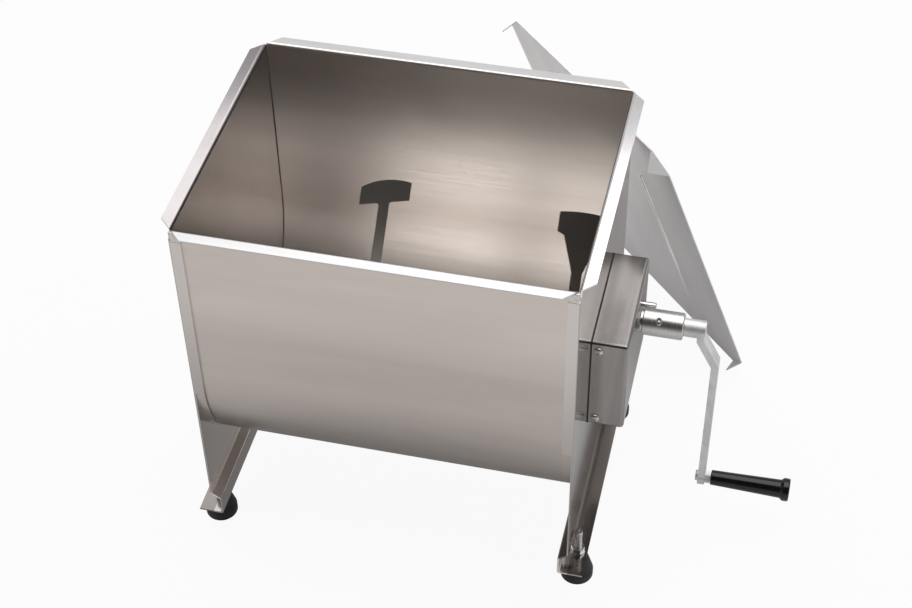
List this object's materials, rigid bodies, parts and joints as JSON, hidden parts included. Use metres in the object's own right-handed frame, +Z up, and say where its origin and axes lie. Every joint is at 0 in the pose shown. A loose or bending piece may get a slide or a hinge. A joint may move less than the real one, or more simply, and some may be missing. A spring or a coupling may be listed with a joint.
{
  "type": "hand crank meat mixer",
  "caption": "Open stainless steel trough on rubber feet with a T-bladed mixing shaft turned through a side gear case by a long hand crank, with its sheet lid taken off.",
  "frame": {"origin": "on the floor, below the middle of the mixing shaft between the end plates", "axes": "+X along the mixing shaft towards the crank, +Y to the back, +Z up"},
  "size_m": [0.6489, 0.6172, 0.46],
  "materials": {
    "stainless_sheet": "satin brushed stainless sheet",
    "lid_sheet": "satin stainless sheet",
    "turned_steel": "turned and satin stainless steel",
    "gear_steel": "machined steel",
    "fastener_steel": "bright stainless fasteners",
    "plated_arm": "bright zinc plated steel bar",
    "bush_nylon": "natural nylon",
    "foot_rubber": "black moulded rubber",
    "grip_black": "glossy black moulded plastic"
  },
  "bodies": {
    "frame": {"trough": "stainless_sheet", "right_end_plate": "stainless_sheet", "left_end_plate": "stainless_sheet", "right_shaft_bush": "bush_nylon", "left_shaft_bush": "bush_nylon", "bush_screws": "fastener_steel", "foot_pad_front_left": "foot_rubber", "foot_pad_back_left": "foot_rubber", "foot_pad_front_right": "foot_rubber", "foot_pad_back_right": "foot_rubber", "foot_studs": "fastener_steel", "foot_nuts": "fastener_steel", "foot_washers": "fastener_steel", "gear_case": "stainless_sheet", "case_bracket_front": "stainless_sheet", "case_bracket_back": "stainless_sheet", "case_screws": "fastener_steel", "pinion_block": "turned_steel", "case_bush": "bush_nylon", "stop_pin": "fastener_steel"},
    "agitator": {"mixing_shaft": "turned_steel", "blade_1": "turned_steel", "blade_2": "turned_steel", "blade_3": "turned_steel", "blade_4": "turned_steel", "drive_gear": "gear_steel", "drive_key": "fastener_steel", "gear_ring": "fastener_steel", "left_end_ring": "fastener_steel"},
    "crank": {"pinion": "gear_steel", "pinion_pin": "fastener_steel", "crank_shaft": "turned_steel", "thrust_washer": "fastener_steel", "crank_sleeve": "turned_steel", "sleeve_screw": "fastener_steel", "crank_arm": "plated_arm", "grip_spindle": "fastener_steel", "grip_ferrule": "fastener_steel"},
    "grip": {"grip": "grip_black"},
    "lid": {"lid": "lid_sheet"}
  },
  "joints": [
    {"name": "agitator_turn", "type": "hinge", "parent": "frame", "child": "agitator", "pos_m": [0, 0, 0.244], "axis": [1, 0, 0], "continuous": true},
    {"name": "crank_turn", "type": "hinge", "parent": "frame", "child": "crank", "pos_m": [0.25, 0, 0.282], "axis": [1, 0, 0], "continuous": true},
    {"name": "grip_spin", "type": "hinge", "parent": "crank", "child": "grip", "pos_m": [0.38, 0, 0.053], "axis": [1, 0, 0], "continuous": true},
    {"name": "lid_lift", "type": "slide", "parent": "frame", "child": "lid", "axis": [0.6807, 0.6392, 0.3578], "range_m": [0, 0.3]}
  ],
  "couplings": [
    {"joint": "crank_turn", "follows": "agitator_turn", "ratio": -2.1667}
  ]
}
